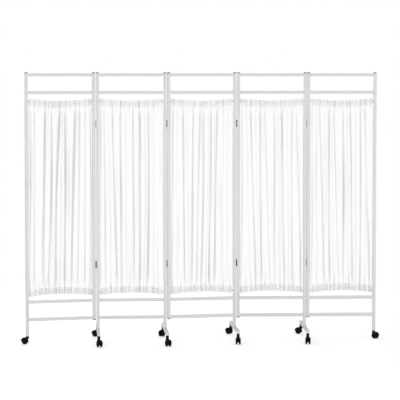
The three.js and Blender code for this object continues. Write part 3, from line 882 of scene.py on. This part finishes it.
def caster_neck(caster, axle, post_low=None):
    """The neck: a collar, a waist and a flare down into the hood, turned about the stem. Under an end post the collar
    stops below the post, and the neck goes on as a slimmer shank in it."""
    top = caster.neck_top
    base = axle + caster.hood - 0.006
    profile = [(0.0116, base), (0.0110, base + 0.005)]
    if post_low is None:
        profile += [(0.0099, base + 0.0085), (0.0092, base + 0.013), (0.0090, top - 0.0105), (0.0091, top - 0.0085),
                    (0.0094, top - 0.0068), (0.0095, top - 0.006), (0.0095, top - 0.0012), (0.0092, top - 0.0004),
                    (0.0084, top)]
    else:
        rim = post_low - 0.0004
        profile += [(0.0100, base + 0.0075), (0.0095, rim - 0.0030), (0.0095, rim - 0.0006), (0.0091, rim),
                    (0.0080, rim + 0.0001), (0.0080, top - 0.0008), (0.0072, top)]
    return turned(profile, 32)


def caster_wheel(caster, side, axle):
    """A wheel, turned about its axle: a round-shouldered tread, a recessed disc and a raised hub on its outer side."""
    inner = caster.web / 2 + CLEAR
    outer = inner + caster.wheel_width
    radius, shoulder, inner_shoulder = caster.wheel, 0.0042, 0.0025
    quarter = np.radians(np.linspace(0, 90, 7))
    outer_arc = [(radius - shoulder + shoulder * math.cos(a), outer - shoulder + shoulder * math.sin(a))
                 for a in quarter]
    inner_arc = [(radius - inner_shoulder + inner_shoulder * math.sin(a),
                  inner + inner_shoulder - inner_shoulder * math.cos(a)) for a in quarter]
    face = [(0.0142, outer - 0.0003), (0.0136, outer - 0.0012), (0.0085, outer - 0.0016), (0.0078, outer - 0.0006),
            (0.0066, outer - 0.0001), (0.0042, outer), (0.0012, outer)]
    profile = [(0.0024, inner), (0.012, inner), *inner_arc, *outer_arc, *face]
    profile = [(r, side * h) for r, h in profile]
    return moved(turned(profile, 48, "y"), 0, (-caster.trail, 0, axle))


def axle_rod(caster, axle):
    """The axle between the wheels, a plain turned rod."""
    reach = caster.web / 2 + 0.004
    return moved(turned([(0.0019, -reach), (0.002, -reach), (0.002, reach), (0.0019, reach)], 16, "y"), 0,
                 (-caster.trail, 0, axle))


class WARDSCREEN_OT_casters(bpy.types.Operator):
    """Builds the housings and the wheels of the ten casters"""

    bl_idname = "ward_screen.casters"
    bl_label = "Build casters"

    def execute(self, context):
        caster = context.scene.ward_caster
        for name in CASTERS:
            stand = caster_place(name)
            axle = JOINTS[f"{name}_roll"]["pos_m"][2]
            post = context.scene.ward_tube.caster_post_low if "end" in name.split("_") else None
            housing = [caster_hood(caster, axle), caster_web(caster, axle), caster_neck(caster, axle, post)]
            piece(f"{name}_hood", housing, finish("caster_nylon"), f"{name}_swivel",
                  [f"{name}_housing"], stand)
            top = caster.neck_top
            rod = turned([(0.0038, top - 0.002), (0.004, top - 0.002), (0.004, top + 0.013), (0.0034, top + 0.014)], 20)
            piece(f"{name}_stem", [rod], finish("blued_steel"), f"{name}_swivel", stand=stand)
            wheels = [caster_wheel(caster, side, axle) for side in (-1, 1)] + [axle_rod(caster, axle)]
            piece(f"{name}_twin_wheels", wheels, finish("tread_rubber"), f"{name}_wheels",
                  [f"{name}_wheels"], stand)
        return {"FINISHED"}


# Curtains


def casing_path(curtain):
    """Rows of a casing, as (distance from the cloth's edge, offset, looseness): from the stitches behind the cord
    over the edge to the stitches in front, bulging round the cord between them."""
    depth = np.array([1.02, 0.93, 0.81, 0.69, 0.57, 0.45, 0.33, 0.21, 0.1, 0.028]) * curtain.casing
    bulge = np.array([0.5, 0.9, 1.6, 2.3, 2.6, 2.6, 2.3, 1.8, 1.2, 0.5]) / 1000
    loose = np.array([0.7, 0.6, 0.5, 0.42, 0.4, 0.4, 0.42, 0.45, 0.5, 0.55])
    back = np.stack([depth, bulge, loose], 1)
    front = back[::-1] * (1, -1, 1)
    return np.concatenate([back, front])


def curtain_rows(curtain):
    """(share down, distance from the nearer stitches, offset, looseness) for each row of the cloth, from the cut end
    behind the top cord to the cut end behind the bottom cord."""
    height = curtain.top - curtain.bottom
    casing = casing_path(curtain)
    edge = casing[:, 0].max() + 0.003
    ease = np.linspace(0, 1, 66)
    place = edge + (height - 2 * edge) * (ease - 0.09 * np.sin(2 * math.pi * ease))
    free = np.stack([place / height, np.minimum(place, height - place) - edge + 0.002, 0 * place, 1 + 0 * place], 1)
    top = np.stack([casing[:, 0] / height, 0 * casing[:, 0], casing[:, 1], casing[:, 2]], 1)
    bottom = top[::-1] * (-1, 1, 1, 1) + (1, 0, 0, 0)
    return np.concatenate([top, free, bottom])


def smooth_step(value):
    """3 v^2 - 2 v^3 of the value v, which is first kept from 0 to 1."""
    value = np.clip(value, 0, 1)
    return value * value * (3 - 2 * value)


def pleat(distance, width):
    """A small pleat seen across: 1 at its bottom, falling to 0 on both sides."""
    return np.exp(-((distance / width) ** 2))


def crease_lines(panel, down):
    """Places of the creases at each row: the parabola through each crease's three places."""
    marks = np.array(CREASES[panel]) / (1000, 1000, 1000, 100)
    a, b, c = CREASE_LEVELS
    weights = ((down - b) * (down - c) / ((a - b) * (a - c)), (down - a) * (down - c) / ((b - a) * (b - c)),
               (down - a) * (down - b) / ((c - a) * (c - b)))
    return sum(weight * marks[:, i] for i, weight in enumerate(weights)), marks[:, 3]


def small_pleats(random, count, share, width, down, away):
    """Depth of the small pleats along the casings, at each point: bell curves across, every other one long and wide,
    which fade with the distance from the stitches as e^(-away / reach) and drift to one side on the way."""
    places = (np.arange(count) + random.uniform(-0.36, 0.36, count) + 0.5) / count
    deeper_below = np.where(down > 0.5, 1.35, 0.9)
    long = np.arange(count) % 2 == 0
    reach = np.where(long, random.uniform(0.035, 0.17, count), random.uniform(0.006, 0.02, count))
    deep = np.where(long, random.uniform(0.4, 1.0, count), random.uniform(0.1, 0.95, count))
    pleats = np.zeros_like(share)
    for place, length, strong, spread in zip(places, reach, deep, np.where(long, 0.0038, 0.0030)):
        drift = place + random.uniform(-0.05, 0.05) * away
        pleats += strong * deeper_below * np.exp(-away / length) * pleat((share - drift) * width, spread)
    return pleats


def faint_folds(random, share, width, down):
    """Depth of the faint folds anywhere in the cloth, at each point: slanting bell curves across, each in a window
    that eases in and out down the cloth."""
    faint = np.zeros_like(share)
    for place in random.uniform(0.03, 0.97, 18):
        middle, span, slant = random.uniform(0.1, 0.9), random.uniform(0.15, 0.45), random.uniform(-0.03, 0.03)
        window = smooth_step(1 - np.abs(down - middle) / span)
        faint += window * random.uniform(0.4, 1.0) * pleat((share - place - slant * (down - middle)) * width, 0.003)
    return faint


def painted_crease_shade(x, centre, half, grown):
    """How much painted shade the creases put at each point: an even band over each pocket, and a bell curve that is
    darkest near one of its edges, the right one for every third crease."""
    reached = (x[:, :, None] - centre[:, None]) / np.maximum(half[:, None], 0.0012)
    dark_edge = np.where(np.arange(centre.shape[1]) % 3 == 1, 1, -1)
    band = 0.4 + 0.75 * pleat(reached - 0.8 * dark_edge, 0.32)
    return (grown[:, None] * band * (1 - smooth_step((np.abs(reached) - 0.95) / 0.25))).max(2)


def curtain_sheet(panel, curtain):
    """One curtain as a grid of rows down and columns across, in its panel, and how much painted shade its colour gets
    at each point.
    Across, fields that bulge forward meet in slits. Behind each slit the cloth runs through a pocket, for u from -1
    to 1: x = centre + half width * sin(pi u), y = depth * cos(pi u / 2). Pockets grow from the casings, where small
    pleats stand between them, and the columns are smoothed along each row."""
    random = np.random.default_rng(curtain.seed + panel)
    width = 2 * curtain.half_width
    rows = curtain_rows(curtain)
    down, away, offset, loose = (rows[:, i : i + 1] for i in range(4))
    centre, strength = crease_lines(panel, np.clip(down, 0.02, 0.98))
    rate, phase = random.uniform(0.5, 1.4, strength.size), random.uniform(0, 2 * math.pi, strength.size)
    centre = np.clip(centre + 0.003 * np.sin(2 * math.pi * down * rate + phase), 0.012, 0.988) * width
    free = smooth_step((loose - 0.7) / 0.3)
    grown = strength * (0.38 + 0.62 * free * smooth_step(away / 0.07)) * (0.9 + 0.18 * np.sin(7 * down * rate + phase))
    slit, column, pocket_columns = 0.0008, 0.0021, 15  # half a slit's width, and how close the columns stand
    gaps = np.diff(np.concatenate([0 * down, centre, 0 * down + width], 1), axis=1)
    half = np.minimum(grown * curtain.pocket_width / 2, 0.42 * np.minimum(gaps[:, :-1], gaps[:, 1:]))
    depth = np.minimum(grown * curtain.pocket_depth, 3.2 * half)

    # Runs of columns: (places, from 0 to 1 in a field or -1 to 1 in a pocket, its number, whether it is a pocket).
    # The last run is the one column of the cloth's right edge.
    count = strength.size
    runs = []
    for index, gap in enumerate(gaps.mean(0)):
        steps = max(5, int(round(gap / column)))
        runs += [(np.arange(min(index, 1), steps) / steps, index, False),
                 (np.linspace(-1, 1, pocket_columns), index, True)]
    runs[-1] = (np.ones(1), count, False)
    local = np.concatenate([run[0] for run in runs])
    crease, inside = (np.repeat([run[i] for run in runs], [len(run[0]) for run in runs]) for i in (1, 2))

    left = np.concatenate([0 * down, centre + slit], 1)[:, np.where(inside, 0, crease)]
    right = np.concatenate([centre - slit, 0 * down + width], 1)[:, np.where(inside, 0, crease)]
    field = right - left
    pocket = np.where(inside, crease, 0)
    turned_x = centre[:, pocket] + half[:, pocket] * np.sin(math.pi * local) + slit * local**3
    turned_y = depth[:, pocket] * np.cos(math.pi * local / 2)
    x = np.where(inside, turned_x, left + field * local)
    bulge = np.minimum(field * 0.09, 0.0042) * (0.25 + 0.75 * free * smooth_step(away / 0.12)) * loose
    y = np.where(inside, turned_y, -bulge * np.sin(math.pi * local) ** 0.8)

    share = x / width
    in_casing = loose < 0.99
    pleats = small_pleats(random, curtain.gathers, share, width, down, away)
    y += curtain.gather_depth * pleats * np.where(in_casing, loose * 1.15, 1.0)
    faint = faint_folds(random, share, width, down)
    y += free * 0.0016 * faint * ~inside
    y += free * 0.003 * np.sin(2 * math.pi * (down * 0.8 + share * 1.6 + 0.13 * panel))
    swell = 1 + 0.75 * np.clip(1 - pleats * 1.4, 0, 1) * np.clip(np.sin(share * 2 * math.pi * curtain.gathers * 0.94
                                                                       + 5 * np.sin(9 * share + panel)), 0, 1)
    y += offset * swell

    # The edges: the sides turn back, and the cords draw the top and the bottom in.
    away_edge = np.minimum(x, width - x)
    y += 0.0018 * smooth_step(1 - away_edge / 0.004) * loose
    drawn = np.exp(-away / 0.03)
    pull = {side: 0.0062 if (panel, side) in BARE_ENDS else 0.0016 for side in (-1, 1)}
    across = x - width / 2
    across *= 1 - drawn * np.where(across < 0, pull[-1], pull[1]) / curtain.half_width
    bow = 1 - (across / curtain.half_width) ** 2
    ruffle = 0.0022 * pleats * in_casing
    high = curtain.top - curtain.sag * bow - ruffle * (down < 0.5)
    low = curtain.bottom + curtain.rise * bow + ruffle * (down > 0.5)
    z = high + (low - high) * down

    # The painted shade: the darkest of the painted shade in the creases, the pleats, the faint folds and just under the
    # rows of stitches.
    # Small pleats get painted shade as dark ticks, darkest along the casings.
    ticks = np.clip(pleats, 0, 1) ** 2
    of_pleats = np.where(in_casing, np.minimum(2.0 * ticks, 0.92), np.where(down > 0.5, 1.3, 1.0) * ticks)
    # Painted shade just under the stitches, where the cloth is drawn in.
    at_stitches = 0.55 * np.exp(-away / 0.004) * ~in_casing
    shade = painted_crease_shade(x, centre, half, grown)
    for other in (of_pleats, 0.9 * np.clip(faint, 0, 1) * free, at_stitches):
        shade = np.maximum(shade, other)
    grid = np.stack([across, y, z], -1)
    for _ in range(2):
        grid[:, 1:-1] = 0.25 * grid[:, :-2] + 0.5 * grid[:, 1:-1] + 0.25 * grid[:, 2:]
    return grid, shade


def end_hook(side, height, cord):
    """The hook on a cord's end: a wire carried round 340 degrees of a circle, from its lowest point on."""
    turn = np.radians(np.linspace(-90, 250, 26))
    loop = np.stack([POST_FACE - 0.0050 + 0.0026 * np.cos(turn), 0.0002 * turn, height + 0.0026 * np.sin(turn)], 1)
    return carried(circle(cord * 0.55, 8), loop * (side, 1, 1), upward=(0, 1, 0))


def screw_eye(side, height):
    """A screw eye in the post's side: a low turned plate, and a ring that stands across the hook."""
    face = POST_FACE
    ring = level(circle(0.0020, 24), height) + (face - 0.0026, 0, 0)
    eye = carried(circle(0.0007, 8), ring * (side, 1, 1), loop=True)
    plate = turned([(0.0008, face - 0.0011), (0.0034, face - 0.0009), (0.0038, face - 0.0001), (0.0038, face + 0.0002)],
                   20, "x")
    plate["points"] = plate["points"] * (side, 1, 1) + (0, 0, height)
    return [eye, plate]


def stands_in(curtain, node):
    """Raises an error unless the curtain's edges stand within 2 mm of where the frame has them."""
    low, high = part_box(node)
    if max(abs(curtain.top - high[2]), abs(curtain.bottom - low[2])) > 0.002:
        raise RuntimeError(f"the curtain's edges don't stand where {node} has them")


class WARDSCREEN_OT_curtains(bpy.types.Operator):
    """Builds the gathered curtains"""

    bl_idname = "ward_screen.curtains"
    bl_label = "Build curtains"

    def execute(self, context):
        curtain = context.scene.ward_curtain
        for panel in PANELS:
            stands_in(curtain, f"panel_{panel}_curtain")
            grid, shade = curtain_sheet(panel, curtain)
            part = shell(grid, closed=False)
            flat_width, flat_length = part["uv"].max(0)
            obj = piece(f"panel_{panel}_voile", [part], finish("voile", float(flat_length)), f"panel_{panel}",
                        [f"panel_{panel}_curtain"], panel_place(panel), math.pi)
            point_values(obj, "Shaded", [part], [shade])
            wall = obj.modifiers.new("Cloth thickness", "SOLIDIFY")
            wall.thickness = curtain.cloth
            wall.offset = 0
        return {"FINISHED"}


class WARDSCREEN_OT_cords(bpy.types.Operator):
    """Builds the stretched cords in the curtains and the hooks that hold them"""

    bl_idname = "ward_screen.cords"
    bl_label = "Build curtain cords"

    def execute(self, context):
        curtain = context.scene.ward_curtain
        heights = (curtain.top - curtain.casing / 2, curtain.bottom + curtain.casing / 2)
        for panel in PANELS:
            cords, hooks = [], []
            for height, bow in zip(heights, (-curtain.sag, curtain.rise)):
                reach = POST_FACE - 0.0075
                x = np.linspace(-reach, reach, 60)
                z = height + bow * (1 - (x / curtain.half_width) ** 2)
                cords.append(carried(circle(curtain.cord, 10), np.stack([x, 0 * x, z], 1)))
                for side in (-1, 1):
                    hooks += [end_hook(side, height, curtain.cord), *screw_eye(side, height)]
            for name, parts, material, slot in (("cords", cords, finish("elastic"), "curtain_cloth"),
                                                ("cord_hooks", hooks, finish("blued_steel"), "pin_steel")):
                piece(f"panel_{panel}_{name}", parts, material, f"panel_{panel}", stand=panel_place(panel))
        return {"FINISHED"}


# Stage


def studio_world():
    """Even studio light, with white where the camera or a reflection looks past the floor."""
    n = Nodes(bpy.data.worlds.new("studio"), "Background")
    bpy.context.scene.world = n.finish(Color=(1, 1, 1, 1), Strength=n.spread(n.seen(), 0, 1, 0.5, 1.0))


LAMPS = {  # name: place, aim, width in metres and power in watts
    "key": ((2.2, -5.8, 0.85), (0, 0, 0.6), 2.6, 122),
    "fill": ((-2.5, -5.7, 0.75), (0, 0, 0.6), 3.0, 122),
    "back": ((-1.0, 4.6, 2.2), (0, 0, 0.9), 3.0, 60),
    "overhead": ((0, 0.9, 4.5), (0, 0.3, 0), 3.0, 12),
}


def lamp(name, place, aim, size, power):
    """A round area lamp at the place, turned so that it shines at the aim."""
    light = bpy.data.lights.new(name, "AREA")
    light.shape = "DISK"
    light.size = size
    light.energy = power
    obj = bpy.data.objects.new(name, light)
    obj.location = place
    direction = np.array(aim, float) - np.array(place, float)
    obj.rotation_euler = Vector(direction).to_track_quat("-Z", "Y").to_euler()
    bpy.context.scene.collection.objects.link(obj)


def camera(place, yaw, pitch, focal_share, shift):
    """The camera looks along the yaw, to the right of +Y, and down by the pitch, both in degrees. focal_share is the
    focal length as a share of the picture's width."""
    data = bpy.data.cameras.new("camera")
    data.sensor_width = 36
    data.lens = 36 * focal_share
    data.shift_y = shift
    data.clip_end = 100
    obj = bpy.data.objects.new("camera", data)
    obj.location = place
    obj.rotation_euler = (math.radians(90 - pitch), 0, -math.radians(yaw))
    bpy.context.scene.collection.objects.link(obj)
    bpy.context.scene.camera = obj


class WARDSCREEN_OT_stage(bpy.types.Operator):
    """Builds the floor, the studio light and the camera"""

    bl_idname = "ward_screen.stage"
    bl_label = "Build stage"

    def execute(self, context):
        mesh = bpy.data.meshes.new("floor")
        rim = level(circle(3.4, 64), 0)
        mesh.from_pydata(rim.tolist(), [], [list(range(len(rim)))])
        mesh.materials.append(finish("pale_floor"))
        floor = bpy.data.objects.new("floor", mesh)
        context.scene.collection.objects.link(floor)
        studio_world()
        for name, setting in LAMPS.items():
            lamp(name, *setting)
        camera(place=(-1.085, -10.24, 1.684), yaw=6.012, pitch=3.0, focal_share=4.077, shift=-0.0993)
        context.scene.view_settings.view_transform = "Standard"
        return {"FINISHED"}


class WARDSCREEN_PT_pieces(bpy.types.Panel):
    """Lists the pieces of the screen and their sizes"""

    bl_idname = "WARDSCREEN_PT_pieces"
    bl_label = "Ward Privacy Screen"
    bl_space_type = "VIEW_3D"
    bl_region_type = "UI"
    bl_category = "Ward Screen"

    def draw(self, context):
        for operator in OPERATORS:
            self.layout.operator(operator.bl_idname)
        for name, group in GROUPS.items():
            box = self.layout.box()
            for key in group.__annotations__:
                box.prop(getattr(context.scene, name), key)


OPERATORS = (
    WARDSCREEN_OT_frames,
    WARDSCREEN_OT_caps,
    WARDSCREEN_OT_hinges,
    WARDSCREEN_OT_feet,
    WARDSCREEN_OT_casters,
    WARDSCREEN_OT_cords,
    WARDSCREEN_OT_curtains,
    WARDSCREEN_OT_stage,
)
CLASSES = (*GROUPS.values(), *OPERATORS, WARDSCREEN_PT_pieces)


def register():
    for cls in CLASSES:
        bpy.utils.register_class(cls)
    for name, group in GROUPS.items():
        setattr(bpy.types.Scene, name, PointerProperty(type=group))


def unregister():
    for name in GROUPS:
        delattr(bpy.types.Scene, name)
    for cls in reversed(CLASSES):
        bpy.utils.unregister_class(cls)


def main():
    register()
    for operator in OPERATORS:
        group, name = operator.bl_idname.split(".")
        getattr(getattr(bpy.ops, group), name)()


if __name__ == "__main__":
    main()
